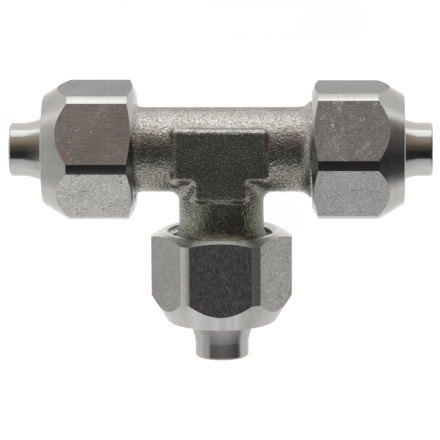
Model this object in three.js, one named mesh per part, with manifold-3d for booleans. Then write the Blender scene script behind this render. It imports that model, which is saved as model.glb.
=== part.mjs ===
// Equal tee hose fitting of stainless steel: a cast body with three threaded ports. Each port holds a
// turned stem, a compression sleeve and a hex union nut. Millimetres, +Z up.
//
// Frame: the run lies along X, the branch points to -Y, and the raised pads face +Z and -Z. The origin is
// the centre of the bounding box in X and Y, at the level the nuts rest on.
//
// Port frame: +Y runs outwards along the port's axis from the crossing of the axes, and Z stays up, so a
// revolved profile is a list of [radius, distance from the crossing].

import * as THREE from 'three';
import { mergeVertices } from 'three/addons/utils/BufferGeometryUtils.js';
import Module from 'manifold-3d';

const wasm = await Module();
wasm.setup();

// ---- Driving dimensions ----

const TURN = 2 * Math.PI;
const ROUND_STEPS = 32; // facets round an arm, a thread or the inside of a nut
const HEX_STEPS = 48; // facets round a nut's turned outside
const STEM_STEPS = 24; // facets round a stem, its seat and a sleeve
const BORE_STEPS = 16; // facets round a bore
const ARC_STEPS = 4; // facets along a rounded profile
const OVERRUN = 0.6; // how far a cutter passes the face it opens
const WELD = 1e-5; // points nearer than this are one vertex

// Thread, right-handed
const PITCH = 1;
const MALE = { root: 5.3, crest: 5.85, rootHalf: 0.397, crestHalf: 0.08 };
const FEMALE = { crest: 5.47, root: 6.02, crestHalf: 0.417, rootHalf: 0.1 };
const THREAD_STEPS = 16; // facets per turn
const RIDGE_EMBED = 0.3; // how deep a ridge's foot lies in the body
const GROOVE_EMBED = 0.12; // how far a groove's cutter stands into the bore
const GROOVE_RUNOUT = 0.2; // how far the groove runs on into the relief

// Cast body
const ARM_R = 4.65;
const BODY_BORE_R = 2;
const COLLAR_START = 8.5; // where the arm begins to flare
const COLLAR_ARC_R = 1.6;
const COLLAR_R = 5.3;
const THREAD_START = 10.9;
const THREAD_END = 13.7;
const BODY_END = 14.2;
const BODY_CHAMFER = 0.4;
const SEAT_START = 11.2; // counterbore for the stem
const SEAT_R = 3.45;
const CORNER_R = 1.1; // fillet between arm and branch
const CORNER_TOP = 3.6; // height at which the fillet runs out
const CORNER_EMBED = 0.4; // how deep the fillet's back lies in the arms, in fillet radii
const CORNER_STEPS = 8; // layers of the fillet
const PAD_REACH = 5.2; // pad edge from the crossing, along each arm
const PAD_HALF = 2.85; // half the pad's width across an arm
const PAD_TOP = 4.85;
const PAD_BEVEL = 0.35;
const PAD_CORNER_R = 0.6;
const PAD_CORNER_STEPS = 3;
const PAD_BEVEL_STEPS = 2;

// Stem
const STEM_BORE_R = 2;
const STEM_SHANK_R = 3.38;
const STEM_IN = 11.4;
const STEM_FLANGE_R = 4.7;
const STEM_FLANGE = [14.35, 15.1];
const STEM_FLANGE_BACK = 0.4; // length of the cone behind the flange
const STEM_NECK_R = 3.3;
const STEM_CREST_R = 3.85;
const STEM_CREST = 16.9;
const STEM_CREST_BACK = 0.6; // length of the cone up to the crest
const STEM_FLARE_R = 3.57; // radius where the concave flare begins
const STEM_ARC_R = 3.6;
const STEM_TIP_START = 21.5; // where the straight tip begins
const STEM_TIP_R = 2.95;
const STEM_TIP = 23.2;
const STEM_EDGE_R = 0.32;

// Union nut, lengths from its mouth
const NUT_FLATS = 14;
const NUT_TURNED_R = 7.78;
const NUT_LENGTH = 10.1;
const NUT_MOUTH_R = 6.5;
const NUT_MOUTH_CHAMFER = 0.68;
const NUT_BEVEL_R = 6.05;
const NUT_THREAD_LENGTH = 3.9;
const NUT_RELIEF_END = 5.5;
const NUT_CHAMBER_R = 5.4;
const NUT_CONE_IN = 8;
const NUT_CONE_OUT = 9.05;
const NUT_EXIT_R = 4.2;
const NUT_EXIT_BEVEL = 0.2;
const NUT_CONE = 2.9; // length of the outer cone
const NUT_END_R = 5.98;

// Compression sleeve, lengths from the nut's mouth
const SLEEVE = { inner: 4.2, outer: 5.15, nose: 4.45, start: 6.9, shoulder: 7.7, end: 8.45 };

// Each port: the way it points as a turn about Z, where its nut's mouth is, and how far the nearest flat
// of the hexagon is turned from facing up (right-hand rule about the port's outward axis).
const DEGREE = Math.PI / 180;
const PORTS = {
  left: { heading: 90 * DEGREE, mouth: 9.4, flatTurn: 23 * DEGREE },
  right: { heading: -90 * DEGREE, mouth: 10, flatTurn: -26 * DEGREE },
  branch: { heading: 180 * DEGREE, mouth: 9, flatTurn: -0.5 * DEGREE },
};

const MATERIALS = {
  castSteel: new THREE.MeshStandardMaterial({ color: 0x8c8983, roughness: 0.62, metalness: 1 }),
  nutSteel: new THREE.MeshStandardMaterial({ color: 0xa9a8a5, roughness: 0.38, metalness: 1 }),
  stemSteel: new THREE.MeshStandardMaterial({ color: 0xcfcdc9, roughness: 0.15, metalness: 1 }),
  sleeveSteel: new THREE.MeshStandardMaterial({ color: 0xbdbbb6, roughness: 0.3, metalness: 1 }),
};

// ---- Solids ----

// A closed three.js geometry as a manifold-3d solid.
function toSolid(geometry) {
  const bare = geometry.clone();
  bare.deleteAttribute('normal');
  bare.deleteAttribute('uv');
  const merged = mergeVertices(bare, WELD);
  const index = merged.index.array;
  const triangles = [];
  for (let i = 0; i < index.length; i += 3) {
    const [a, b, c] = [index[i], index[i + 1], index[i + 2]];
    if (a !== b && b !== c && c !== a) triangles.push(a, b, c);
  }
  const vertProperties = new Float32Array(merged.attributes.position.array);
  const triVerts = new Uint32Array(triangles);
  return new wasm.Manifold(new wasm.Mesh({ numProp: 3, vertProperties, triVerts }));
}

// A manifold-3d solid as a three.js geometry with flat faces.
function toGeometry(solid) {
  const mesh = solid.getMesh();
  const indexed = new THREE.BufferGeometry();
  indexed.setAttribute('position', new THREE.BufferAttribute(new Float32Array(mesh.vertProperties), 3));
  indexed.setIndex(new THREE.BufferAttribute(new Uint32Array(mesh.triVerts), 1));
  const flat = indexed.toNonIndexed();
  flat.computeVertexNormals();
  return flat;
}

function joined(solids) {
  return solids.reduce((sum, solid) => sum.add(solid));
}

// Points on an arc about [radius, distance], from one angle to another.
function arc(centreR, centreS, radius, fromAngle, toAngle) {
  return Array.from({ length: ARC_STEPS + 1 }, (_, i) => {
    const angle = THREE.MathUtils.lerp(fromAngle, toAngle, i / ARC_STEPS);
    return [centreR + radius * Math.cos(angle), centreS + radius * Math.sin(angle)];
  });
}

// A profile of [radius, distance] points turned round the port's axis.
function revolve(profile, steps) {
  const points = profile.map(([radius, distance]) => new THREE.Vector2(radius, distance));
  return new THREE.LatheGeometry(points, steps);
}

// A ring's profile comes back to its first point.
function revolveRing(profile, steps) {
  return revolve([...profile, profile[0]], steps);
}

function plug(radius, from, to, steps) {
  const geometry = new THREE.CylinderGeometry(radius, radius, to - from, steps);
  return geometry.translate(0, (from + to) / 2, 0);
}

// A thread's ridge: a straight bar with a tapered section, wound into a right-handed helix. The winding's
// phase depends only on the distance along the axis, so ridges and grooves made here always mesh.
function helix({ innerR, outerR, innerHalf, outerHalf, from, to }) {
  const steps = Math.ceil(((to - from) / PITCH) * THREAD_STEPS);
  const bar = new THREE.BoxGeometry(1, 1, 1, 1, 1, steps);
  const position = bar.attributes.position;
  for (let i = 0; i < position.count; i++) {
    const outside = position.getX(i) > 0;
    const half = outside ? outerHalf : innerHalf;
    const radius = outside ? outerR : innerR;
    const along = THREE.MathUtils.lerp(from, to, position.getZ(i) + 0.5);
    const angle = (along / PITCH) * TURN;
    const side = -Math.sign(position.getY(i)) * half;
    position.setXYZ(i, radius * Math.sin(angle), along + side, radius * Math.cos(angle));
  }
  return bar;
}

// ---- Cast body ----

function portProfile() {
  const arcEnd = Math.acos((COLLAR_ARC_R - (COLLAR_R - ARM_R)) / COLLAR_ARC_R);
  const flare = arc(ARM_R + COLLAR_ARC_R, COLLAR_START, COLLAR_ARC_R, Math.PI, Math.PI - arcEnd);
  return [
    [0, 0],
    [ARM_R, 0],
    ...flare,
    [MALE.root, BODY_END - BODY_CHAMFER],
    [MALE.root - BODY_CHAMFER, BODY_END],
    [0, BODY_END],
  ];
}

function maleThread() {
  const slope = (MALE.rootHalf - MALE.crestHalf) / (MALE.crest - MALE.root);
  return helix({
    innerR: MALE.root - RIDGE_EMBED,
    outerR: MALE.crest,
    innerHalf: MALE.rootHalf + RIDGE_EMBED * slope,
    outerHalf: MALE.crestHalf,
    from: THREAD_START,
    to: THREAD_END - MALE.rootHalf,
  });
}

// Fillet in the corner between one arm and the branch, drawn for a fillet radius of 1. At every height it
// stands in the corner of the two round surfaces, and it shrinks towards the top.
function cornerFillet(side) {
  const shape = new THREE.Shape();
  shape.moveTo(-CORNER_EMBED, CORNER_EMBED);
  shape.lineTo(-CORNER_EMBED, -1);
  shape.lineTo(0, -1);
  shape.absarc(1, -1, 1, Math.PI, Math.PI / 2, true);
  shape.lineTo(1, CORNER_EMBED);
  shape.closePath();
  const web = new THREE.ExtrudeGeometry(shape, {
    depth: 2 * CORNER_TOP,
    steps: CORNER_STEPS,
    curveSegments: ARC_STEPS,
    bevelEnabled: false,
  });
  web.translate(0, 0, -CORNER_TOP);
  const position = web.attributes.position;
  for (let i = 0; i < position.count; i++) {
    const height = position.getZ(i);
    const wall = Math.sqrt(ARM_R ** 2 - height ** 2);
    const size = CORNER_R * (wall / ARM_R);
    position.setXYZ(i, wall + size * position.getX(i), -wall + size * position.getY(i), height);
  }
  return side > 0 ? web : web.rotateY(Math.PI);
}

// T-shaped block whose two ends are the raised pads.
function padBlock() {
  const outline = [
    [-PAD_REACH, PAD_HALF],
    [-PAD_REACH, -PAD_HALF],
    [-PAD_HALF, -PAD_HALF],
    [-PAD_HALF, -PAD_REACH],
    [PAD_HALF, -PAD_REACH],
    [PAD_HALF, -PAD_HALF],
    [PAD_REACH, -PAD_HALF],
    [PAD_REACH, PAD_HALF],
  ].map(([x, y]) => new THREE.Vector2(x, y));
  const shape = new THREE.Shape();
  outline.forEach((corner, i) => {
    const before = outline[(i + outline.length - 1) % outline.length];
    const after = outline[(i + 1) % outline.length];
    const start = corner.clone().add(before.clone().sub(corner).setLength(PAD_CORNER_R));
    const end = corner.clone().add(after.clone().sub(corner).setLength(PAD_CORNER_R));
    if (i === 0) shape.moveTo(start.x, start.y);
    else shape.lineTo(start.x, start.y);
    shape.quadraticCurveTo(corner.x, corner.y, end.x, end.y);
  });
  shape.closePath();
  const block = new THREE.ExtrudeGeometry(shape, {
    depth: 2 * (PAD_TOP - PAD_BEVEL),
    curveSegments: PAD_CORNER_STEPS,
    bevelEnabled: true,
    bevelSize: PAD_BEVEL,
    bevelOffset: -PAD_BEVEL,
    bevelThickness: PAD_BEVEL,
    bevelSegments: PAD_BEVEL_STEPS,
  });
  return block.translate(0, 0, PAD_BEVEL - PAD_TOP);
}

function bodyGeometry() {
  const headings = Object.values(PORTS).map((port) => port.heading);
  const atEachPort = (geometry) => headings.map((heading) => toSolid(geometry.clone().rotateZ(heading)));
  const outside = joined([
    ...atEachPort(revolve(portProfile(), ROUND_STEPS)),
    ...atEachPort(maleThread()),
    toSolid(padBlock()),
    toSolid(cornerFillet(1)),
    toSolid(cornerFillet(-1)),
  ]);
  const inside = joined([
    ...atEachPort(plug(BODY_BORE_R, -BODY_BORE_R / 2, BODY_END + OVERRUN, BORE_STEPS)),
    ...atEachPort(plug(SEAT_R, SEAT_START, BODY_END + OVERRUN, STEM_STEPS)),
  ]);
  return toGeometry(outside.subtract(inside));
}

// ---- Stem ----

function stemGeometry() {
  const flareAngle = Math.acos((STEM_ARC_R - (STEM_FLARE_R - STEM_TIP_R)) / STEM_ARC_R);
  const flare = arc(
    STEM_TIP_R + STEM_ARC_R,
    STEM_TIP_START,
    STEM_ARC_R,
    Math.PI + flareAngle,
    Math.PI,
  );
  const edgeCentre = [STEM_TIP_R - STEM_EDGE_R, STEM_TIP - STEM_EDGE_R];
  const edge = arc(...edgeCentre, STEM_EDGE_R, 0, Math.PI / 2);
  const [flangeIn, flangeOut] = STEM_FLANGE;
  const profile = [
    [STEM_BORE_R, STEM_IN],
    [STEM_SHANK_R, STEM_IN],
    [STEM_SHANK_R, flangeIn],
    [STEM_FLANGE_R, flangeIn],
    [STEM_FLANGE_R, flangeOut],
    [STEM_NECK_R, flangeOut + STEM_FLANGE_BACK],
    [STEM_NECK_R, STEM_CREST - STEM_CREST_BACK],
    [STEM_CREST_R, STEM_CREST],
    ...flare,
    ...edge,
    [STEM_BORE_R, STEM_TIP],
  ];
  return revolveRing(profile, STEM_STEPS);
}

// ---- Union nut ----

function nutOutside(mouth) {
  const end = mouth + NUT_LENGTH;
  const turned = revolve(
    [
      [0, mouth],
      [NUT_MOUTH_R, mouth],
      [NUT_TURNED_R, mouth + NUT_MOUTH_CHAMFER],
      [NUT_TURNED_R, end - NUT_CONE],
      [NUT_END_R, end],
      [0, end],
    ],
    HEX_STEPS,
  );
  return toSolid(turned);
}

function hexBar(mouth, flatTurn) {
  const cornerR = NUT_FLATS / 2 / Math.cos(Math.PI / 6);
  const bar = new THREE.CylinderGeometry(cornerR, cornerR, NUT_LENGTH + 2 * OVERRUN, 6);
  // A cylinder's first corner faces +Z, and half a side turns a flat there instead.
  bar.rotateY(Math.PI / 6 + flatTurn);
  return toSolid(bar.translate(0, mouth + NUT_LENGTH / 2, 0));
}

function nutInside(mouth) {
  const at = (distance) => mouth + distance;
  const bevel = NUT_BEVEL_R - FEMALE.crest;
  const bore = revolve(
    [
      [0, at(-OVERRUN)],
      [NUT_BEVEL_R + OVERRUN, at(-OVERRUN)],
      [FEMALE.crest, at(bevel)],
      [FEMALE.crest, at(NUT_THREAD_LENGTH)],
      [FEMALE.root, at(NUT_THREAD_LENGTH)],
      [FEMALE.root, at(NUT_RELIEF_END)],
      [NUT_CHAMBER_R, at(NUT_RELIEF_END)],
      [NUT_CHAMBER_R, at(NUT_CONE_IN)],
      [NUT_EXIT_R, at(NUT_CONE_OUT)],
      [NUT_EXIT_R, at(NUT_LENGTH - NUT_EXIT_BEVEL)],
      [NUT_EXIT_R + NUT_EXIT_BEVEL + OVERRUN, at(NUT_LENGTH + OVERRUN)],
      [0, at(NUT_LENGTH + OVERRUN)],
    ],
    ROUND_STEPS,
  );
  const slope = (FEMALE.crestHalf - FEMALE.rootHalf) / (FEMALE.root - FEMALE.crest);
  const groove = helix({
    innerR: FEMALE.crest - GROOVE_EMBED,
    outerR: FEMALE.root,
    innerHalf: FEMALE.crestHalf + GROOVE_EMBED * slope,
    outerHalf: FEMALE.rootHalf,
    from: at(0),
    to: at(NUT_THREAD_LENGTH + GROOVE_RUNOUT),
  });
  return toSolid(bore).add(toSolid(groove));
}

function nutGeometry({ mouth, flatTurn }) {
  const outside = nutOutside(mouth).intersect(hexBar(mouth, flatTurn));
  return toGeometry(outside.subtract(nutInside(mouth)));
}

// ---- Compression sleeve ----

function sleeveGeometry({ mouth }) {
  const { inner, outer, nose, start, shoulder, end } = SLEEVE;
  return revolveRing(
    [
      [inner, mouth + start],
      [outer, mouth + start],
      [outer, mouth + shoulder],
      [nose, mouth + end],
      [inner, mouth + end],
    ],
    STEM_STEPS,
  );
}

// ---- Assembly ----

function addPiece(parent, name, geometry, material) {
  const mesh = new THREE.Mesh(geometry, material);
  mesh.name = name;
  parent.add(mesh);
}

function assembly() {
  const tee = new THREE.Group();
  addPiece(tee, 'tee_body', bodyGeometry(), MATERIALS.castSteel);
  for (const [side, port] of Object.entries(PORTS)) {
    const group = new THREE.Group();
    group.rotation.z = port.heading;
    addPiece(group, `${side}_stem`, stemGeometry(), MATERIALS.stemSteel);
    addPiece(group, `${side}_sleeve`, sleeveGeometry(port), MATERIALS.sleeveSteel);
    addPiece(group, `${side}_nut`, nutGeometry(port), MATERIALS.nutSteel);
    tee.add(group);
  }
  return tee;
}

// Moves the tee so that its bounding box is centred on the origin and stands on Z = 0.
function grounded(tee) {
  const box = new THREE.Box3().setFromObject(tee);
  const centre = box.getCenter(new THREE.Vector3());
  tee.position.set(-centre.x, -centre.y, -box.min.z);
  const frame = new THREE.Group();
  frame.add(tee);
  return frame;
}

export default grounded(assembly());
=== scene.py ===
"""Equal tee hose fitting of stainless steel, lying on a white light table.

The cast body, the turned stems, the compression sleeves and the union nuts are built here in fine detail
and take the place of the faceted CAD nodes. Lengths are millimetres until a mesh is made.

Port frame: +Y runs outwards along a port's axis from the crossing of the axes and Z stays up. An angle
round the axis is measured from +Z towards the port's +X.
"""

import math

import bpy
import numpy as np
from mathutils import Matrix, Vector


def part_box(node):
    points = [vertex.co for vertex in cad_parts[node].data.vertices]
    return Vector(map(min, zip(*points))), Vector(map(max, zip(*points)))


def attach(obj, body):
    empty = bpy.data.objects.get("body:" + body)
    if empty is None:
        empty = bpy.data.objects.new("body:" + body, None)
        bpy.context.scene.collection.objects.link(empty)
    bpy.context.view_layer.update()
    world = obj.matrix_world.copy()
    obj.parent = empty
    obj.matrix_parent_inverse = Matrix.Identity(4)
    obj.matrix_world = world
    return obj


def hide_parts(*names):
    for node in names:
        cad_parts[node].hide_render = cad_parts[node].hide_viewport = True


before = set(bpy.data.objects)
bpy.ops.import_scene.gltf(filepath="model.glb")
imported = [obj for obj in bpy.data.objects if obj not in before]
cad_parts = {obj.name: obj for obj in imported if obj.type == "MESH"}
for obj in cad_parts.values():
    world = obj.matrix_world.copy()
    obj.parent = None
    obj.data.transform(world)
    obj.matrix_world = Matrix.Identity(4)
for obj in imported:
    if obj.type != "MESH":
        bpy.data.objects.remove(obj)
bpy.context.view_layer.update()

MM = 0.001
SIDES = ("left", "right", "branch")
HEADING = {"left": math.pi / 2, "right": -math.pi / 2, "branch": math.pi}
SEED = 7

# ---- Sizes, as in the CAD model ----

PITCH = 1.0
MALE_ROOT, MALE_CREST = 5.3, 5.85
MALE_ROOT_HALF, MALE_CREST_HALF = 0.397, 0.08
FEMALE_CREST, FEMALE_ROOT = 5.47, 6.02
FEMALE_CREST_HALF, FEMALE_ROOT_HALF = 0.417, 0.1
THREAD_ROWS = 14  # rows of vertices per pitch

ARM_R = 4.65
BODY_BORE_R = 2.0
COLLAR_START, COLLAR_ARC_R, COLLAR_R = 8.5, 1.6, 5.3
CAST_END = 10.2  # where the casting gives way to the turned port
PORT_START, THREAD_START, THREAD_END, BODY_END = 9.9, 10.6, 13.7, 14.2
PORT_CHAMFER_R, PORT_CHAMFER = 0.35, 0.45
SEAT_START, SEAT_R = 11.2, 3.45
EDGE_BREAK = 0.15  # small chamfer at the mouths of the bores
CORNER_R = 1.1
PAD_REACH, PAD_HALF, PAD_TOP = 5.12, 2.85, 4.85
PAD_CORNER_R, PAD_INNER_R = 0.6, 0.55
PAD_EDGE_R = 0.55
PAD_FOOT_R = 0.35
PAD_DRAFT = 0.12  # outward lean of the pad's sides, as a slope
PAD_LEFT_LEAN, PAD_WALL = 0.24, 1.3  # more lean towards the left end, over the wall's height

STEM_BORE_R, STEM_SHANK_R, STEM_IN = 2.0, 3.38, 11.4
STEM_FLANGE_R, STEM_FLANGE_IN, STEM_FLANGE_OUT = 4.7, 14.35, 15.1
STEM_NECK_R, STEM_CREST_R, STEM_CREST = 3.3, 3.85, 16.9
STEM_FLANGE_SLOPE, STEM_CREST_SLOPE = 0.4, 0.6  # lengths of the slopes that lead into the neck
STEM_FLARE_R, STEM_FLARE_LENGTH = 3.57, 2.02
STEM_FLARE_SLOPES = (24.0, 10.0)  # degrees to the axis, at the nut and at the straight tip
STEM_TIP_START, STEM_TIP_R, STEM_EDGE_R = 21.5, 2.95, 0.32

NUT_FLAT_R = 7.0
NUT_TURNED_R = 7.78
NUT_MOUTH_R, NUT_MOUTH_CHAMFER = 6.5, 0.68
NUT_BEVEL_R = 6.05
NUT_THREAD_LENGTH, NUT_RELIEF_END = 3.9, 5.5
NUT_CHAMBER_R, NUT_CONE_IN, NUT_CONE_OUT, NUT_EXIT_R = 5.4, 8.0, 9.05, 4.2
NUT_CONE, NUT_END_R, NUT_EXIT_CHAMFER = 2.9, 5.98, 0.2
NUT_EASE = 0.05  # rounding of the turned edges
FLAT_TURN = {"left": 23.0, "right": -26.0, "branch": -0.5}  # degrees from +Z to the upper flat

SLEEVE_INNER, SLEEVE_OUTER, SLEEVE_NOSE = 4.2, 5.15, 4.45
SLEEVE_START, SLEEVE_SHOULDER, SLEEVE_END = 6.9, 7.7, 8.45

# ---- Places, from the frame ----


def mm_box(node):
    low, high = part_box(node)
    return np.array(low) / MM, np.array(high) / MM


STEM_LOW, STEM_HIGH = mm_box("right_stem")
CROSSING = np.array([0.0, (STEM_LOW[1] + STEM_HIGH[1]) / 2, (STEM_LOW[2] + STEM_HIGH[2]) / 2])
STEM_TIP = STEM_HIGH[0]


def nut_span(side):
    """Distances of a nut's mouth and outer end from the crossing."""
    low, high = mm_box(f"{side}_nut")
    low, high = low - CROSSING, high - CROSSING
    if side == "branch":
        return -high[1], -low[1]
    return (low[0], high[0]) if side == "right" else (-high[0], -low[0])


# ---- Meshes ----


def new_object(name, vertices, faces, sharp_angle=None):
    """A piece from vertices in the row frame, smooth except across edges over sharp_angle degrees."""
    mesh = bpy.data.meshes.new(name)
    mesh.from_pydata((np.asarray(vertices) * MM).tolist(), [], np.asarray(faces).tolist())
    mesh.validate()
    mesh.shade_smooth()
    if sharp_angle is not None:
        mesh.set_sharp_from_angle(angle=math.radians(sharp_angle))
    obj = bpy.data.objects.new(name, mesh)
    bpy.context.scene.collection.objects.link(obj)
    return obj


def to_row_frame(points, side):
    """Port frame to row frame."""
    turn = np.array(Matrix.Rotation(HEADING[side], 3, "Z"))
    return points @ turn.T + CROSSING


def ring_grid(radius, along, angle):
    """Points from arrays of radius, distance along the axis and angle, each (rows, columns)."""
    return np.stack([radius * np.sin(angle), along, radius * np.cos(angle)], axis=-1)


def ring_faces(rows, columns):
    """Quads of a grid that closes both along its rows and along its columns."""
    r, c = np.meshgrid(np.arange(rows), np.arange(columns), indexing="ij")
    r2, c2 = (r + 1) % rows, (c + 1) % columns
    quads = np.stack([r * columns + c, r2 * columns + c, r2 * columns + c2, r * columns + c2], axis=-1)
    return quads.reshape(-1, 4)


def outward(points, faces):
    """The faces, turned over if they enclose a negative volume."""
    a, b, c, d = (points[faces[:, i]] for i in range(4))
    volume = np.einsum("ij,ij->i", a, np.cross(b, c)).sum() + np.einsum("ij,ij->i", a, np.cross(c, d)).sum()
    return faces if volume > 0 else faces[:, ::-1]


def ring_object(name, side, radius, along, angle, sharp_angle=22):
    points = to_row_frame(ring_grid(radius, along, angle).reshape(-1, 3), side)
    faces = outward(points, ring_faces(*radius.shape))
    return new_object(name, points, faces, sharp_angle)


def eased(profile, radius=0.04, steps=3):
    """A closed profile of [radius, distance] points with each corner rounded, unless the point ends in 0."""
    out = []
    for i, point in enumerate(profile):
        corner = np.array(point[:2], float)
        if len(point) > 2 and point[2] == 0:
            out.append(corner)
            continue
        before = np.array(profile[i - 1][:2], float) - corner
        after = np.array(profile[(i + 1) % len(profile)][:2], float) - corner
        reach = min(radius, np.linalg.norm(before) / 3, np.linalg.norm(after) / 3)
        start = corner + before / np.linalg.norm(before) * reach
        end = corner + after / np.linalg.norm(after) * reach
        for t in np.linspace(0, 1, steps + 1):
            out.append((1 - t) ** 2 * start + 2 * t * (1 - t) * corner + t**2 * end)
    return np.array(out)


def arc(centre_r, centre_s, radius, first, last, steps=12):
    """Points on an arc, marked so that eased() leaves them."""
    return [
        [centre_r + radius * math.cos(a), centre_s + radius * math.sin(a), 0]
        for a in np.linspace(first, last, steps + 1)
    ]


def turned(name, side, profile, columns=128):
    """A plain turned ring from its closed profile."""
    profile = np.asarray(profile)
    angle = np.linspace(0, 2 * math.pi, columns, endpoint=False)
    radius = np.repeat(profile[:, :1], columns, axis=1)
    along = np.repeat(profile[:, 1:], columns, axis=1)
    return ring_object(name, side, radius, along, np.repeat(angle[None], len(profile), axis=0))


def helix_offset(along, angle):
    """Axial distance from the nearest turn of the helix."""
    turns = along / PITCH - angle / (2 * math.pi)
    return np.abs(turns - np.round(turns)) * PITCH


def tooth(offset, wide_half, narrow_half):
    """0 off a ridge or groove, 1 on its flat, straight flanks between."""
    return np.clip((wide_half - offset) / (wide_half - narrow_half), 0, 1)


def fade(along, start, end, length=0.35):
    """Runs the thread in and out at its ends."""
    return np.clip((along - start) / length, 0, 1) * np.clip((end - along) / length, 0, 1)


# ---- Stem, sleeve, turned port ----


def stem(side):
    steep, gentle = (math.radians(slope) for slope in STEM_FLARE_SLOPES)
    radius = STEM_FLARE_LENGTH / (math.sin(steep) - math.sin(gentle))
    centre = (STEM_TIP_R + radius * math.cos(gentle), STEM_TIP_START + radius * math.sin(gentle))
    flare = arc(*centre, radius, math.pi + steep, math.pi + gentle)
    edge = arc(STEM_TIP_R - STEM_EDGE_R, STEM_TIP - STEM_EDGE_R, STEM_EDGE_R, 0, math.pi / 2, 8)
    profile = [
        [STEM_BORE_R, STEM_IN],
        [STEM_SHANK_R, STEM_IN],
        [STEM_SHANK_R, STEM_FLANGE_IN],
        [STEM_FLANGE_R, STEM_FLANGE_IN],
        [STEM_FLANGE_R, STEM_FLANGE_OUT],
        [STEM_NECK_R, STEM_FLANGE_OUT + STEM_FLANGE_SLOPE],
        [STEM_NECK_R, STEM_CREST - STEM_CREST_SLOPE],
        [STEM_CREST_R, STEM_CREST],
        *flare,
        *edge,
        [STEM_BORE_R + EDGE_BREAK, STEM_TIP],
        [STEM_BORE_R, STEM_TIP - EDGE_BREAK],
    ]
    return turned(f"{side}_stem_turned", side, eased(profile), columns=160)


def sleeve(side):
    mouth, _ = nut_span(side)
    profile = [
        [SLEEVE_INNER, mouth + SLEEVE_START],
        [SLEEVE_OUTER, mouth + SLEEVE_START],
        [SLEEVE_OUTER, mouth + SLEEVE_SHOULDER],
        [SLEEVE_NOSE, mouth + SLEEVE_END],
        [SLEEVE_INNER, mouth + SLEEVE_END],
    ]
    return turned(f"{side}_sleeve_ring", side, eased(profile, radius=0.08))


def port_thread(side, columns=160):
    """The turned, threaded end of the body beyond the casting."""
    thread = np.linspace(THREAD_START, THREAD_END, round((THREAD_END - THREAD_START) * THREAD_ROWS))
    profile = np.array(
        [
            [MALE_ROOT, PORT_START],
            *([MALE_ROOT, s] for s in thread),
            [MALE_ROOT, BODY_END - PORT_CHAMFER],
            [MALE_ROOT - PORT_CHAMFER_R, BODY_END],
            [SEAT_R + EDGE_BREAK, BODY_END],
            [SEAT_R, BODY_END - EDGE_BREAK],
            [SEAT_R, SEAT_START],
            [BODY_BORE_R, SEAT_START],
            [BODY_BORE_R, PORT_START],
        ]
    )
    angle = np.repeat(np.linspace(0, 2 * math.pi, columns, endpoint=False)[None], len(profile), axis=0)
    radius = np.repeat(profile[:, :1], columns, axis=1)
    along = np.repeat(profile[:, 1:], columns, axis=1)
    rows = slice(1, 1 + len(thread))
    ridge = tooth(helix_offset(along[rows], angle[rows]), MALE_ROOT_HALF, MALE_CREST_HALF)
    ridge = ridge * fade(along[rows], THREAD_START, THREAD_END)
    radius[rows] += (MALE_CREST - MALE_ROOT) * ridge
    return ring_object(f"{side}_port_thread", side, radius, along, angle, sharp_angle=30)


# ---- Union nut ----


def hex_columns(side, per_flat=26, per_strip=4):
    """Angles round a nut, with columns on the borders of its flats, and each column's outside radius."""
    half = math.acos(NUT_FLAT_R / NUT_TURNED_R)
    turn = math.radians(FLAT_TURN[side])
    angles, radii, on_flat = [], [], []
    for k in range(6):
        centre = turn + k * math.pi / 3
        for a in np.linspace(-half, half, per_flat, endpoint=False):
            angles.append(centre + a)
            radii.append(NUT_FLAT_R / math.cos(a))
            on_flat.append(True)
        for a in np.linspace(half, math.pi / 3 - half, per_strip, endpoint=False):
            angles.append(centre + a)
            radii.append(NUT_TURNED_R)
            on_flat.append(False)
    return np.array(angles), np.array(radii), np.array(on_flat)


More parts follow.
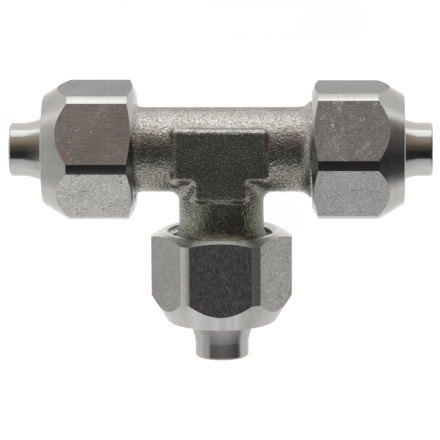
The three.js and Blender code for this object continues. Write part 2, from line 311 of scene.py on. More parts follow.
def nut(side):
    mouth, end = nut_span(side)
    angle, outer, on_flat = hex_columns(side)
    columns = len(angle)

    chamfer_slope = NUT_MOUTH_CHAMFER / (NUT_TURNED_R - NUT_MOUTH_R)
    cone_slope = NUT_CONE / (NUT_TURNED_R - NUT_END_R)
    rows = []

    def add(radius, along):
        rows.append((np.broadcast_to(radius, columns), np.broadcast_to(along, columns)))

    # Outside, from the mouth to the outer end
    flat_start = mouth + (outer - NUT_MOUTH_R) * chamfer_slope
    flat_end = end - (outer - NUT_END_R) * cone_slope
    add(NUT_BEVEL_R + NUT_EASE, mouth)
    add(NUT_MOUTH_R - NUT_EASE, mouth)
    add(NUT_MOUTH_R + NUT_EASE, mouth + NUT_EASE * chamfer_slope)
    first_flat_row = len(rows)
    add(outer, flat_start)
    for t in np.linspace(0.1, 0.9, 5):
        add(outer, flat_start * (1 - t) + flat_end * t)
    first_cone_row = len(rows)
    add(outer, flat_end)
    for t in (0.25, 0.5, 0.75):
        add(outer * (1 - t) + NUT_END_R * t, flat_end * (1 - t) + end * t)
    add(NUT_END_R + NUT_EASE, end - NUT_EASE * cone_slope)
    first_inside_row = len(rows)
    add(NUT_END_R - NUT_EASE, end)

    # Inside, from the outer end back to the mouth
    add(NUT_EXIT_R + NUT_EXIT_CHAMFER, end)
    add(NUT_EXIT_R, end - NUT_EXIT_CHAMFER)
    add(NUT_EXIT_R, mouth + NUT_CONE_OUT)
    add(NUT_CHAMBER_R, mouth + NUT_CONE_IN)
    add(NUT_CHAMBER_R, mouth + NUT_RELIEF_END)
    add(FEMALE_ROOT, mouth + NUT_RELIEF_END)
    add(FEMALE_ROOT, mouth + NUT_THREAD_LENGTH)
    bevel = NUT_BEVEL_R - FEMALE_CREST
    for s in np.arange(NUT_THREAD_LENGTH, 0, -1 / THREAD_ROWS):
        along = mouth + s
        groove = tooth(helix_offset(along, angle), FEMALE_CREST_HALF, FEMALE_ROOT_HALF)
        radius = FEMALE_CREST + (FEMALE_ROOT - FEMALE_CREST) * groove
        add(np.maximum(radius, NUT_BEVEL_R - s) if s < bevel else radius, along)
    add(NUT_BEVEL_R, mouth + 0.01)

    radius, along = (np.array(values) for values in zip(*rows))
    angles = np.repeat(angle[None], len(rows), axis=0)
    obj = ring_object(f"{side}_nut_hex", side, radius, along, angles, sharp_angle=12)

    # Material slots: 0 hexagon flats, 1 turned outside, 2 inside
    row_of = np.repeat(np.arange(len(rows)), columns)
    column_of = np.tile(np.arange(columns), len(rows))
    flats = (row_of >= first_flat_row) & (row_of < first_cone_row) & on_flat[column_of]
    index = np.where(row_of >= first_inside_row, 2, np.where(flats, 0, 1))
    obj.data.polygons.foreach_set("material_index", index.astype(np.int32))
    return obj


# ---- Cast body ----


def collar_radius(distance):
    """The arm's outside radius, flaring towards the port."""
    run_in = np.clip(distance - COLLAR_START, 0, COLLAR_ARC_R)
    flare = COLLAR_ARC_R - np.sqrt(np.maximum(COLLAR_ARC_R**2 - run_in**2, 0))
    return np.minimum(ARM_R + flare, COLLAR_R)


def round_union(a, b, radius):
    """Joins two distances with a fillet."""
    corner = np.hypot(np.maximum(radius - a, 0), np.maximum(radius - b, 0))
    return np.maximum(radius, np.minimum(a, b)) - corner


def round_intersection(a, b, radius):
    corner = np.hypot(np.maximum(radius + a, 0), np.maximum(radius + b, 0))
    return np.minimum(-radius, np.maximum(a, b)) + corner


def box_2d(x, y, half_x, half_y):
    dx, dy = np.abs(x) - half_x, np.abs(y) - half_y
    return np.hypot(np.maximum(dx, 0), np.maximum(dy, 0)) + np.minimum(np.maximum(dx, dy), 0)


def cast_distance(p):
    """Signed distance to the casting's surface, in millimetres from the crossing."""
    x, y, z = p[..., 0], p[..., 1], p[..., 2]
    run = np.hypot(y, z) - collar_radius(np.abs(x))
    branch = np.maximum(np.hypot(x, z) - collar_radius(-y), y)
    # The fillet between run and branch shrinks towards the top, where the two run into each other.
    corner = CORNER_R * np.sqrt(np.maximum(1 - (z / ARM_R) ** 2, 0))
    arms = round_union(run, branch, corner)

    # The pad's outline grows downwards with its draft.
    bar = box_2d(x, y, PAD_REACH - PAD_CORNER_R, PAD_HALF - PAD_CORNER_R)
    leg_length = PAD_REACH - PAD_CORNER_R
    leg = box_2d(x, y + leg_length / 2, PAD_HALF - PAD_CORNER_R, leg_length / 2)
    outline = round_union(bar, leg, PAD_CORNER_R + PAD_INNER_R) - PAD_CORNER_R
    depth = PAD_TOP - np.abs(z)
    lean = PAD_LEFT_LEAN * np.clip(-x / PAD_REACH, 0, 1) ** 2
    outline = outline - PAD_DRAFT * depth - lean * np.clip(depth, 0, PAD_WALL)
    sides = outline / np.hypot(1, PAD_DRAFT + lean)
    body = np.minimum(arms, round_intersection(round_union(arms, sides, PAD_FOOT_R), -depth, PAD_EDGE_R))

    bores = np.minimum(np.hypot(y, z), np.maximum(np.hypot(x, z), y)) - BODY_BORE_R
    ends = np.maximum(np.abs(x), -y) - CAST_END
    return np.maximum(np.maximum(body, -bores), ends)


def surface_net(distance, low, high, step):
    """Quads on the zero surface of a signed distance, one vertex in each grid cell that it crosses."""
    counts = np.ceil((high - low) / step).astype(int) + 1
    axes = [low[i] + step * np.arange(counts[i]) for i in range(3)]
    field = np.empty(counts, np.float32)
    y, z = np.meshgrid(axes[1], axes[2], indexing="ij")
    for i, x in enumerate(axes[0]):
        field[i] = distance(np.stack([np.full_like(y, x), y, z], axis=-1))
    inside = field < 0

    corner_count = np.zeros(counts - 1, np.int8)
    offsets = [(a, b, c) for a in (0, 1) for b in (0, 1) for c in (0, 1)]
    for a, b, c in offsets:
        nx, ny, nz = counts - 1
        corner_count += inside[a : a + nx, b : b + ny, c : c + nz]
    cells = np.argwhere((corner_count > 0) & (corner_count < 8))
    number = np.full(counts - 1, -1, np.int64)
    number[tuple(cells.T)] = np.arange(len(cells))

    corner = {o: field[tuple((cells + o).T)] for o in offsets}
    total = np.zeros((len(cells), 3))
    hits = np.zeros(len(cells))
    for axis in range(3):
        for o in offsets:
            if o[axis]:
                continue
            far = tuple(v + (k == axis) for k, v in enumerate(o))
            a, b = corner[o], corner[far]
            crossed = (a < 0) != (b < 0)
            share = np.where(crossed, a / np.where(crossed, a - b, 1), 0)
            point = np.array(o, float) + share[:, None] * np.eye(3)[axis]
            total += point * crossed[:, None]
            hits += crossed
    vertices = low + step * (cells + total / hits[:, None])

    faces = []
    for axis in range(3):
        u, v = (axis + 1) % 3, (axis + 2) % 3
        ahead = np.roll(inside, -1, axis=axis)
        changed = inside != ahead
        changed[tuple(slice(-1, None) if k == axis else slice(None) for k in range(3))] = False
        edges = np.argwhere(changed)
        entering = ~inside[tuple(edges.T)]
        quad = []
        for du, dv in ((1, 1), (0, 1), (0, 0), (1, 0)):
            cell = edges.copy()
            cell[:, u] -= du
            cell[:, v] -= dv
            quad.append(number[tuple(cell.T)])
        quad = np.stack(quad, axis=1)
        quad[entering] = quad[entering][:, ::-1]
        faces.append(quad)
    return vertices, np.concatenate(faces)


def gradient(distance, points, step=0.02):
    slopes = [distance(points + step * e) - distance(points - step * e) for e in np.eye(3)]
    normal = np.stack(slopes, axis=-1)
    return normal / np.maximum(np.linalg.norm(normal, axis=-1, keepdims=True), 1e-9)


def lattice_noise(points, wavelength, seed, size=64):
    """Smooth noise between -1 and 1 from a repeating lattice of random values."""
    lattice = np.random.RandomState(seed).uniform(-1, 1, (size, size, size))
    q = points / wavelength + 1000.5
    base = np.floor(q).astype(int)
    t = q - base
    t = t * t * (3 - 2 * t)
    total = 0
    for a in (0, 1):
        for b in (0, 1):
            for c in (0, 1):
                weight = np.prod(np.abs(1 - np.array((a, b, c)) - t), axis=1)
                i, j, k = ((base + (a, b, c)) % size).T
                total = total + weight * lattice[i, j, k]
    return total


CAST_STEP = 0.11
CAST_WAVES = ((2.6, 0.012), (0.9, 0.006), (0.4, 0.012), (0.25, 0.014))  # wavelength and height, mm
BORE_CLEAR_R = 3.2  # nearer the axis than this the surface is left smooth
PAD_SINK = 0.01  # keeps the rough pad inside the piece's height


def cast_body():
    end, side, top = CAST_END + 0.35, ARM_R + 1.2, PAD_TOP + 1.0
    low, high = np.array([-end, -end, -top]), np.array([end, side, top])
    points, faces = surface_net(cast_distance, low, high, CAST_STEP)
    for _ in range(2):
        points -= 0.9 * cast_distance(points)[:, None] * gradient(cast_distance, points)
    normal = gradient(cast_distance, points)
    lump = sum(height * lattice_noise(points, wave, SEED + i) for i, (wave, height) in enumerate(CAST_WAVES))
    from_axis = np.minimum(np.hypot(points[:, 1], points[:, 2]), np.hypot(points[:, 0], points[:, 2]))
    reach = np.maximum(np.abs(points[:, 0]), -points[:, 1])
    rough = np.clip((from_axis - BORE_CLEAR_R) * 2, 0, 1) * np.clip((CAST_END - 0.1 - reach) * 4, 0, 1)
    # The pad's face stays flatter than the rest, and nothing stands proud of it.
    on_pad = np.clip((np.abs(normal[:, 2]) - 0.97) * 40, 0, 1) * (np.abs(points[:, 2]) > PAD_TOP - 0.1)
    lump = lump * (1 - 0.8 * on_pad) - PAD_SINK * on_pad
    points = points + normal * (lump * rough)[:, None]
    faces = outward(points, faces)
    return new_object("tee_body_cast", points + CROSSING, faces)


# ---- Materials ----


def rgb(value):
    return value if isinstance(value, tuple) else (value,) * 3


class Nodes:
    """Short names for building a shader."""

    def __init__(self, name):
        self.material = bpy.data.materials.new(name)
        self.material.use_nodes = True
        self.tree = self.material.node_tree
        self.shader = self.tree.nodes["Principled BSDF"]
        self.shader.inputs["Metallic"].default_value = 1.0
        coordinates = self.add("ShaderNodeTexCoord")
        self.place, self.normal = coordinates.outputs["Object"], coordinates.outputs["Normal"]

    def add(self, kind, **settings):
        node = self.tree.nodes.new(kind)
        for key, value in settings.items():
            setattr(node, key, value)
        return node

    def link(self, source, target):
        self.tree.links.new(source, target)

    def scaled(self, place, scale):
        """A place in metres, multiplied per axis."""
        node = self.add("ShaderNodeVectorMath", operation="MULTIPLY")
        node.inputs[1].default_value = rgb(scale)
        self.link(place, node.inputs[0])
        return node.outputs[0]

    def noise(self, scale, detail=2.0, rough=0.5, place=None):
        """Fractal noise; scale is in features per metre, or a vector of them."""
        node = self.add("ShaderNodeTexNoise")
        node.inputs["Scale"].default_value = 1.0
        node.inputs["Detail"].default_value = detail
        node.inputs["Roughness"].default_value = rough
        self.link(self.scaled(place or self.place, scale), node.inputs["Vector"])
        return node.outputs["Fac"]

    def cells(self, scale):
        node = self.add("ShaderNodeTexVoronoi")
        node.inputs["Scale"].default_value = 1.0
        self.link(self.scaled(self.place, scale), node.inputs["Vector"])
        return node.outputs["Distance"]

    def ramp(self, source, stops):
        """A ramp of (position, value or colour) stops."""
        node = self.add("ShaderNodeValToRGB")
        elements = node.color_ramp.elements
        while len(elements) < len(stops):
            elements.new(0.5)
        for element, (position, value) in zip(elements, stops):
            element.position = position
            element.color = (*rgb(value), 1.0)
        self.link(source, node.inputs["Fac"])
        return node.outputs["Color"]

    def math(self, operation, a, b):
        node = self.add("ShaderNodeMath", operation=operation)
        for socket, value in zip(node.inputs, (a, b)):
            if isinstance(value, (int, float)):
                socket.default_value = value
            else:
                self.link(value, socket)
        return node.outputs[0]

    def mix(self, factor, a, b, blend="MIX"):
        node = self.add("ShaderNodeMix", data_type="RGBA", blend_type=blend)
        for index, value in ((0, factor), (6, a), (7, b)):
            if isinstance(value, (float, tuple)):
                node.inputs[index].default_value = (*rgb(value), 1.0) if index else value
            else:
                self.link(value, node.inputs[index])
        return node.outputs[2]

    def times(self, *layers):
        """The product of colours."""
        product = layers[0]
        for layer in layers[1:]:
            product = self.mix(1.0, product, layer, "MULTIPLY")
        return product

    def span(self, axis, low, high):
        """0 to 1 between two row coordinates, in millimetres from the crossing."""
        split = self.add("ShaderNodeSeparateXYZ")
        self.link(self.place, split.inputs[0])
        node = self.add("ShaderNodeMapRange")
        for name, value in (("From Min", low), ("From Max", high)):
            node.inputs[name].default_value = (CROSSING["XYZ".index(axis)] + value) * MM
        self.link(split.outputs[axis], node.inputs["Value"])
        return node.outputs[0]

    def facing(self, way):
        """Cosine between the surface's own normal and a row direction."""
        node = self.add("ShaderNodeVectorMath", operation="DOT_PRODUCT")
        node.inputs[1].default_value = way
        self.link(self.normal, node.inputs[0])
        return node.outputs["Value"]

    def scratches(self, turn, along, across, share):
        """Thin straight marks at an angle round the row's Z, as a 0 to 1 height."""
        turned_place = self.add("ShaderNodeVectorRotate", rotation_type="Z_AXIS")
        turned_place.inputs["Angle"].default_value = turn
        self.link(self.place, turned_place.inputs["Vector"])
        waves = self.noise((along, across, along), detail=0.0, place=turned_place.outputs[0])
        line = self.ramp(waves, [(0.485, 0.0), (0.5, 1.0), (0.515, 0.0)])
        kept = self.ramp(self.noise(520.0, detail=1.0), [(share, 0.0), (share + 0.06, 1.0)])
        return self.math("MULTIPLY", line, kept)

    def bump(self, height, distance, strength=1.0, below=None):
        """Bump from a 0 to 1 height, distance in metres."""
        node = self.add("ShaderNodeBump")
        node.inputs["Strength"].default_value = strength
        node.inputs["Distance"].default_value = distance
        self.link(height, node.inputs["Height"])
        if below:
            self.link(below, node.inputs["Normal"])
        return node.outputs["Normal"]

    def spread_along(self, side, amount):
        """Turning marks run round the axis, so a reflection is smeared along it."""
        axis = self.add("ShaderNodeCombineXYZ")
        axis.inputs[1 if side == "branch" else 0].default_value = 1.0
        self.shader.inputs["Anisotropic"].default_value = amount
        self.link(axis.outputs[0], self.shader.inputs["Tangent"])

    def finish(self, colour, roughness, normal):
        for name, value in (("Base Color", colour), ("Roughness", roughness), ("Normal", normal)):
            self.link(value, self.shader.inputs[name])
        return self.material


def along_axis(side, along, across):
    """Feature scales per row axis for marks that run along a port's axis."""
    return (across, along, across) if side == "branch" else (along, across, across)


def cast_steel():
    """Blasted casting: fine grain and dark pores, with painted glints on its facets, painted shade that
    darkens it towards the branch, and painted shade and light set by which way each face looks.
    """
    n = Nodes("cast_steel_blasted")
    grain = n.noise(5200.0, detail=2.0, rough=0.6)
    facets = n.noise(6500.0, detail=1.0)
    pores = n.cells(4200.0)
    patches = n.noise(420.0, detail=2.0)
    downward = n.span("Y", 4.0, -10.0)
    on_pad = n.ramp(n.facing((0.0, 0.0, 1.0)), [(0.98, 0.0), (0.992, 1.0)])
    on_top = n.ramp(n.facing((0.0, 1.0, 0.0)), [(0.3, 0.0), (0.7, 1.0)])

    metal = [(0.3, (0.40, 0.39, 0.355)), (0.55, (0.445, 0.435, 0.405)), (0.8, (0.48, 0.47, 0.45))]
    metal = n.ramp(patches, metal)
    # Painted shade: darker towards the branch and a touch lighter at the top, with an olive tint at the
    # branch's end that stands in for a reflection.
    tone_and_shade = [(0.0, (1.04, 1.05, 1.05)), (0.3, 0.98), (0.45, (0.84, 0.83, 0.8)), (0.8, (0.61, 0.62, 0.56))]
    tone_and_shade = n.ramp(downward, tone_and_shade)
    # Painted shade: a darker band where the surface faces down the view and to the front.
    lower_front_shade = n.ramp(n.facing((0.0, -0.42, 0.91)), [(0.92, 1.0), (0.97, (0.8, 0.8, 0.78))])
    # On the pad only: darker at its top and lighter towards the branch, taking back part of the painted
    # shade there.
    pad_shade_offset = n.mix(on_pad, 1.0, n.ramp(downward, [(0.4, 0.93), (0.6, 1.25)]))
    # Painted shade on faces that look towards +X.
    right_side_shade = n.ramp(n.facing((1.0, 0.0, 0.0)), [(0.35, 1.0), (0.7, (0.78, 0.77, 0.74))])
    # Painted shade: darker where the surface faces +Y, along the upper outline.
    top_edge_shade = n.ramp(n.facing((0.0, 1.0, 0.0)), [(0.94, 1.0), (0.985, 0.7)])
    # Painted light: lighter where the surface faces -Y, along the lower outline.
    underside_light = n.ramp(n.facing((0.0, -1.0, 0.0)), [(0.75, 1.0), (0.93, 1.25)])
    # Painted shade: the right arm a little darker.
    right_arm_shade = n.ramp(n.span("X", 3.0, 8.0), [(0.0, 1.0), (1.0, 0.92)])
    # Painted shade: a darker, cooler band where the surface faces up the view and to the front, dimming and
    # greying the brown reflection there.
    shoulder_shade = n.ramp(n.facing((0.0, 0.33, 0.944)), [(0.972, 1.0), (0.99, (0.7, 0.77, 0.83))])
    # Painted highlight: lighter and greener where the branch flares towards its port and the surface faces
    # up the view.
    at_collar = n.ramp(n.facing((0.0, 0.5, 0.866)), [(0.85, 0.0), (0.95, 1.0)])
    collar_highlight = n.mix(n.math("MULTIPLY", n.span("Y", -8.2, -9.4), at_collar), 1.0, (1.5, 1.7, 1.5))
    tint = n.times(metal, tone_and_shade, lower_front_shade, pad_shade_offset, right_side_shade, top_edge_shade, underside_light, right_arm_shade, shoulder_shade, collar_highlight)

    speck = n.ramp(grain, [(0.3, 0.5), (0.5, 0.95), (0.62, 1.1), (0.74, 1.7)])
    # Painted glints: bright facets in the colour, fainter where the surface faces +Y and strongest on the
    # pad.
    glint = n.mix(on_top, n.ramp(facets, [(0.6, 1.0), (0.7, 1.9)]), n.ramp(facets, [(0.6, 1.0), (0.7, 1.6)]))
    glint = n.mix(on_pad, glint, n.ramp(facets, [(0.35, 0.75), (0.55, 1.05), (0.68, 2.4)]))
    colour = n.times(tint, speck, glint)
    roughness = n.ramp(grain, [(0.3, 0.42), (0.7, 0.27)])
    flatter = n.ramp(on_pad, [(0.0, 1.0), (1.0, 0.6)])
    coarse = n.bump(n.math("MULTIPLY", pores, flatter), 0.00005, 0.8)
    return n.finish(colour, roughness, n.bump(n.math("MULTIPLY", grain, flatter), 0.00004, 1.0, coarse))


# What heat and handling have left on each nut: tint low and high on its front flats, tint on its worn flats,
# darkest and brightest fleck, strength of the scratches, and roughness of its turned faces
NUT_WEAR = {
    "left": ((1.29, 1.12, 0.99), (1.07, 1.09, 1.08), (1.22, 1.22, 1.21), 0.8, 1.5, 0.25, 0.19),
    "right": ((0.92, 0.95, 0.97), (1.0, 1.06, 1.1), (0.98, 0.98, 0.98), 0.65, 2.1, 0.8, 0.17),
    "branch": ((0.77, 0.78, 0.77), (0.77, 0.78, 0.77), (0.92, 0.92, 0.9), 0.4, 2.7, 0.15, 0.25),
}


def nut_flat_steel(side):
    """Drawn bar: axial streaks and fine flecks, pitted on the flats it lay on, scratched in front; painted
    shade darkens the flats that face +Y and the branch nut's side flats.
    """
    n = Nodes(f"{side}_nut_drawn_flat")
    low_film, high_film, worn_film, fleck_low, fleck_high, scratched, _ = NUT_WEAR[side]
    worn_way = (1.0, 0.0, 0.0) if side == "branch" else (0.0, -1.0, 0.0)
    worn = n.ramp(n.facing(worn_way), [(0.35, 0.0), (0.6, 1.0)])
    front = n.ramp(n.facing((0.0, 0.0, 1.0)), [(0.75, 0.0), (0.85, 1.0)])
    upper = n.ramp(n.facing((0.0, 1.0, 0.0)), [(0.8, 0.0), (0.95, 1.0)])
    streak = n.noise(along_axis(side, 700.0, 9000.0), detail=3.0, rough=0.6)
    fleck = n.noise(along_axis(side, 3000.0 if side == "branch" else 4200.0, 8500.0), detail=2.0, rough=0.7)
    grain = n.noise(along_axis(side, 4200.0, 7000.0), detail=2.0, rough=0.6)
    pit = n.noise(along_axis(side, 3300.0, 4600.0), detail=1.0)
    patches = n.noise(260.0, detail=2.0)

    height = n.math("ADD", n.span("Y", -3.5, 5.5), n.noise(330.0, detail=2.0))
    tone_and_shade = n.mix(n.ramp(height, [(0.75, 0.0), (1.0, 1.0)]), low_film, high_film)
    # Painted shade: the branch nut's flats besides its front one are darker, and on every nut the flats that
    # face +Y are dark.
    tone_and_shade = n.mix(front, (0.74, 0.74, 0.73) if side == "branch" else 1.0, tone_and_shade)
    tone_and_shade = n.mix(upper, n.mix(worn, tone_and_shade, worn_film), 0.74)
    tint = n.times(n.ramp(patches, [(0.3, (0.322, 0.32, 0.315)), (0.7, (0.366, 0.364, 0.358))]), tone_and_shade)

    bright = (fleck_high, fleck_high * 1.04, fleck_high * 1.08)
    lively = n.ramp(fleck, [(0.3, fleck_low), (0.5, 0.97), (0.6, 1.12), (0.74, bright)])
    coarse = n.ramp(grain, [(0.3, 0.6), (0.47, 0.97), (0.6, 1.2), (0.72, 1.7)])
    quiet = n.mix(0.7, n.ramp(fleck, [(0.3, 0.85), (0.7, 1.15)]), coarse)
    drawn = n.times(n.mix(front, quiet, lively), n.ramp(streak, [(0.35, 0.86), (0.65, 1.14)]))
    pitted = n.ramp(n.noise(600.0, detail=1.0), [(0.5, 0.0), (0.62, 1.0)])
    pits = n.mix(n.math("MULTIPLY", worn, pitted), 1.0, n.ramp(pit, [(0.34, 0.5), (0.42, 1.0)]))
    colour = n.times(tint, n.mix(worn, drawn, coarse), pits)

    marks = n.scratches(-0.6, 150.0, 1500.0, 0.52)
    for turn, along, across, share in ((0.8, 500.0, 3600.0, 0.55), (1.5, 120.0, 900.0, 0.6)):
        marks = n.math("MAXIMUM", marks, n.scratches(turn, along, across, share))
    marks = n.math("MULTIPLY", marks, scratched)
    handled = n.ramp(n.facing((0.0, 0.42, 0.907)), [(0.7, 0.08), (0.88, 1.0)])
    marks = n.math("MULTIPLY", marks, handled)
    colour = n.mix(marks, colour, (0.92, 0.94, 0.95))
    dots = n.math("MULTIPLY", n.ramp(n.cells(1500.0), [(0.07, 1.0), (0.12, 0.0)]), handled)
    dots = n.math("MULTIPLY", dots, n.ramp(n.noise(1100.0, detail=1.0), [(0.46, 0.0), (0.54, 1.0)]))
    colour = n.mix(dots, colour, (0.97, 0.98, 0.97))
    sides, dull = n.ramp(streak, [(0.3, 0.34), (0.7, 0.48)]), n.ramp(streak, [(0.3, 0.44), (0.7, 0.54)])
    lines = n.bump(streak, 0.000014, 0.6)
    return n.finish(colour, n.mix(front, sides, dull), n.bump(fleck, 0.00002, 0.6, lines))


def nut_turned_steel(side):
    """Cones and corners of the nut, with the rings that the lathe tool left."""
    n = Nodes(f"{side}_nut_turned")
    rings = n.noise(along_axis(side, 7000.0, 60.0), detail=3.0, rough=0.7)
    metal = n.ramp(n.noise(300.0), [(0.3, (0.415, 0.415, 0.405)), (0.7, (0.455, 0.455, 0.445))])
    colour = n.times(metal, n.ramp(rings, [(0.3, 0.95), (0.5, 1.0), (0.7, 1.05)]))
    smooth = NUT_WEAR[side][-1]
    roughness = n.ramp(n.noise(900.0), [(0.3, smooth), (0.7, smooth + 0.05)])
    if side == "branch":
        # Four darkened streaks on the cone, a painted reflection of bands of light, a painted highlight on
        # the corners, and one corner scuffed
        on_cone = n.ramp(n.facing((0.0, -1.0, 0.0)), [(0.3, 0.0), (0.4, 1.0)])
        wide, faint = [(0.08, 0.1), (0.2, 0.72), (0.36, 0.15)], [(0.46, 0.3), (0.5, 0.0), (0.55, 0.0)]
        narrow, last = [(0.61, 0.4), (0.65, 0.1)], [(0.69, 0.5), (0.76, 0.0)]
        streaks = n.ramp(n.span("X", -4.5, 4.5), [*wide, *faint, *narrow, *last])
        colour = n.mix(n.math("MULTIPLY", on_cone, streaks), colour, (0.7, 0.7, 0.69))
        colour = n.times(colour, n.ramp(on_cone, [(0.0, 1.26), (1.0, 1.0)]))
        scuffed = n.ramp(n.facing((0.507, 0.0, 0.862)), [(0.985, 0.0), (0.99, 1.0)])
        roughness = n.mix(scuffed, roughness, 0.36)
    else:
        # Painted shade on the upper side of the cone.
        upper_cone = n.facing((0.45 if side == "right" else -0.45, 0.8, 0.4))
        colour = n.times(colour, n.ramp(upper_cone, [(0.9, 1.0), (0.97, 0.86)]))
    n.spread_along(side, 0.9)
    return n.finish(colour, roughness, n.bump(rings, 0.000006, 0.5))


def nut_inside_steel(side):
    n = Nodes(f"{side}_nut_inside")
    rings = n.noise(along_axis(side, 9000.0, 90.0), detail=2.0)
    colour = n.ramp(n.noise(700.0), [(0.3, (0.5, 0.495, 0.48)), (0.7, (0.6, 0.595, 0.58))])
    roughness = n.ramp(n.noise(1500.0), [(0.3, 0.2), (0.7, 0.32)])
    return n.finish(colour, roughness, n.bump(rings, 0.00001, 0.5))


def stem_steel(side):
    n = Nodes(f"{side}_stem_bright")
    rings = n.noise(along_axis(side, 16000.0, 40.0), detail=2.0, rough=0.6)
    wear = n.noise(along_axis(side, 900.0, 900.0), detail=2.0)
    # Painted shade: the branch's stem is coloured darker than the run's.
    shade = 0.84 if side == "branch" else 1.0
    dull, bright = (0.455, 0.448, 0.435), (0.49, 0.485, 0.475)
    colour = n.ramp(wear, [(0.3, tuple(shade * c for c in dull)), (0.7, tuple(shade * c for c in bright))])
    smooth = 0.24 if side == "branch" else 0.17
    roughness = n.ramp(rings, [(0.3, smooth), (0.7, smooth + 0.05)])
    n.spread_along(side, 1.0)
    return n.finish(colour, roughness, n.bump(rings, 0.000004, 0.35))


def sleeve_steel(side):
    n = Nodes(f"{side}_sleeve_turned")
    rings = n.noise(along_axis(side, 9000.0, 80.0), detail=2.0)
    colour = n.ramp(n.noise(500.0), [(0.3, (0.44, 0.435, 0.42)), (0.7, (0.52, 0.515, 0.5))])
    roughness = n.ramp(rings, [(0.3, 0.22), (0.7, 0.34)])
    return n.finish(colour, roughness, n.bump(rings, 0.000008, 0.5))


# ---- Build ----


def dress(obj, body, node, slot, *materials):
    for material in materials:
        obj.data.materials.append(material)
    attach(obj, body)
    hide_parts(node)


dress(cast_body(), "tee", "tee_body", "cast_steel", cast_steel())
for side in SIDES:
    bright, flat, cone = stem_steel(side), nut_flat_steel(side), nut_turned_steel(side)
    inside, ring = nut_inside_steel(side), sleeve_steel(side)
    dress(port_thread(side), "tee", "tee_body", "cast_steel", inside)
    dress(stem(side), "tee", f"{side}_stem", "stem_steel", bright)
    dress(sleeve(side), f"{side}_sleeve_ring", f"{side}_sleeve", "sleeve_steel", ring)
    dress(nut(side), f"{side}_union_nut", f"{side}_nut", "nut_steel", flat, cone, inside)

# ---- Stage ----

TILT, YAW, ROLL = math.radians(10.8), math.radians(1.7), math.radians(-0.3)
CAMERA_DISTANCE = 0.377
FIELD_WIDTH = 0.04855  # width of the view at the object's axis
SENSOR = 36.0

VIEW = Matrix.Rotation(YAW, 3, "Y") @ Matrix.Rotation(-TILT, 3, "X") @ Matrix.Rotation(ROLL, 3, "Z")
AIM = Vector((-0.00016, 0.0, CROSSING[2] * MM))

TABLE_HALF = 0.6
TABLE_GLOW = (0.8, 1.8)  # emission near the object and beyond it
TABLE_GLOW_Y = (0.04, 0.1)

# Brightness of the tent by direction, in degrees: up the view for the first three, round it for the others
CEILING = [
    (-90, 0.48),
    (-62, 0.36),
    (-44.5, 0.27),
    (-41, 0.02),
    (-30, 0.012),
    (-12, 0.014),
    (10, 0.035),
    (50, 0.08),
    (56, 0.66),
    (88, 0.70),
]
WALL = [
    (-14, 0.0),
    (-6, 0.03),
    (10, (0.055, 0.047, 0.041)),
    (28, (0.19, 0.128, 0.088)),
    (44, (0.23, 0.205, 0.185)),
]
SEAM = [(-37, 1.0), (-33, 0.7), (-30, 1.0)]
WALL_WIDTH = [(-70, 0.0), (-50, 1.0), (38, 1.0), (52, 0.65), (60, 0.65), (70, 0.0)]
SIDE_LIGHT = [
    (-180, 0.22),
    (-105, 0.23),
    (-80, (0.32, 0.32, 0.31)),
    (-64, (0.32, 0.32, 0.31)),
    (-57, 0.0),
    (82, 0.0),
    (94, 0.22),
]
TENT_STRENGTH = 2.5


def add_floor():
    mesh = bpy.data.meshes.new("light_table")
    corners = [(x * TABLE_HALF, y * TABLE_HALF, 0) for x, y in ((-1, -1), (1, -1), (1, 1), (-1, 1))]
    mesh.from_pydata(corners, [], [(0, 1, 2, 3)])
    floor = bpy.data.objects.new("light_table", mesh)
    bpy.context.scene.collection.objects.link(floor)
    material = bpy.data.materials.new("light_table")
    material.use_nodes = True
    nodes, link = material.node_tree.nodes, material.node_tree.links.new
    shader = nodes["Principled BSDF"]
    shader.inputs["Base Color"].default_value = (0.85, 0.85, 0.85, 1)
    shader.inputs["Roughness"].default_value = 0.9
    shader.inputs["Emission Color"].default_value = (1, 1, 1, 1)
    split = nodes.new("ShaderNodeSeparateXYZ")
    link(nodes.new("ShaderNodeTexCoord").outputs["Object"], split.inputs[0])
    glow = nodes.new("ShaderNodeMapRange")
    glow.inputs["From Min"].default_value, glow.inputs["From Max"].default_value = TABLE_GLOW_Y
    glow.inputs["To Min"].default_value, glow.inputs["To Max"].default_value = TABLE_GLOW
    link(split.outputs["Y"], glow.inputs["Value"])
    link(glow.outputs[0], shader.inputs["Emission Strength"])
    mesh.materials.append(material)


def add_camera():
    data = bpy.data.cameras.new("camera")
    data.sensor_width = SENSOR
    data.lens = SENSOR * CAMERA_DISTANCE / FIELD_WIDTH
    data.clip_start, data.clip_end = 0.01, 10
    camera = bpy.data.objects.new("camera", data)
    camera.matrix_world = Matrix.Translation(AIM + VIEW.col[2] * CAMERA_DISTANCE) @ VIEW.to_4x4()
    bpy.context.scene.collection.objects.link(camera)
    bpy.context.scene.camera = camera


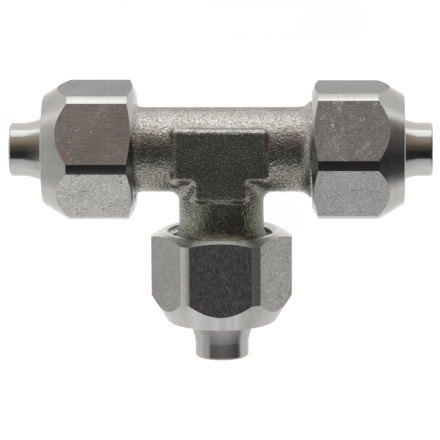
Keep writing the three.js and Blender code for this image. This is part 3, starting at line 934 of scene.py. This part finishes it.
def add_light_tent():
    """A white tent with a dark opening above, where the light and the stand's arm are."""
    world = bpy.data.worlds.new("light_tent")
    world.use_nodes = True
    bpy.context.scene.world = world
    nodes, link = world.node_tree.nodes, world.node_tree.links.new
    direction = nodes.new("ShaderNodeTexCoord").outputs["Generated"]

    def dot(axis):
        node = nodes.new("ShaderNodeVectorMath")
        node.operation = "DOT_PRODUCT"
        node.inputs[1].default_value = axis
        link(direction, node.inputs[0])
        return node.outputs["Value"]

    def calculate(operation, *values):
        node = nodes.new("ShaderNodeMath")
        node.operation = operation
        for socket, value in zip(node.inputs, values):
            if isinstance(value, float):
                socket.default_value = value
            else:
                link(value, socket)
        return node.outputs[0]

    def ramp(angle, stops):
        """A ramp over an angle from -180 to 180 degrees."""
        node = nodes.new("ShaderNodeValToRGB")
        elements = node.color_ramp.elements
        while len(elements) < len(stops):
            elements.new(0.5)
        for element, (degrees, colour) in zip(elements, stops):
            element.position = (degrees + 180) / 360
            element.color = (*rgb(colour), 1)
        link(calculate("ADD", calculate("MULTIPLY", angle, 1 / (2 * math.pi)), 0.5), node.inputs["Fac"])
        return node.outputs["Color"]

    def blend(kind, a, b):
        node = nodes.new("ShaderNodeMix")
        node.data_type, node.blend_type = "RGBA", kind
        node.inputs[0].default_value = 1.0
        link(a, node.inputs[6])
        link(b, node.inputs[7])
        return node.outputs[2]

    across = calculate("ARCTAN2", dot(tuple(VIEW.col[0])), dot(tuple(VIEW.col[2])))
    upward = calculate("ARCSINE", dot(tuple(VIEW.col[1])))
    side_light = blend("MULTIPLY", ramp(across, SIDE_LIGHT), ramp(upward, SEAM))
    wall = blend("MULTIPLY", ramp(upward, WALL), ramp(across, WALL_WIDTH))
    light = blend("LIGHTEN", blend("LIGHTEN", ramp(upward, CEILING), side_light), wall)
    background = nodes["Background"]
    link(light, background.inputs["Color"])
    background.inputs["Strength"].default_value = TENT_STRENGTH


add_floor()
add_camera()
add_light_tent()
bpy.context.scene.view_settings.view_transform = "Standard"
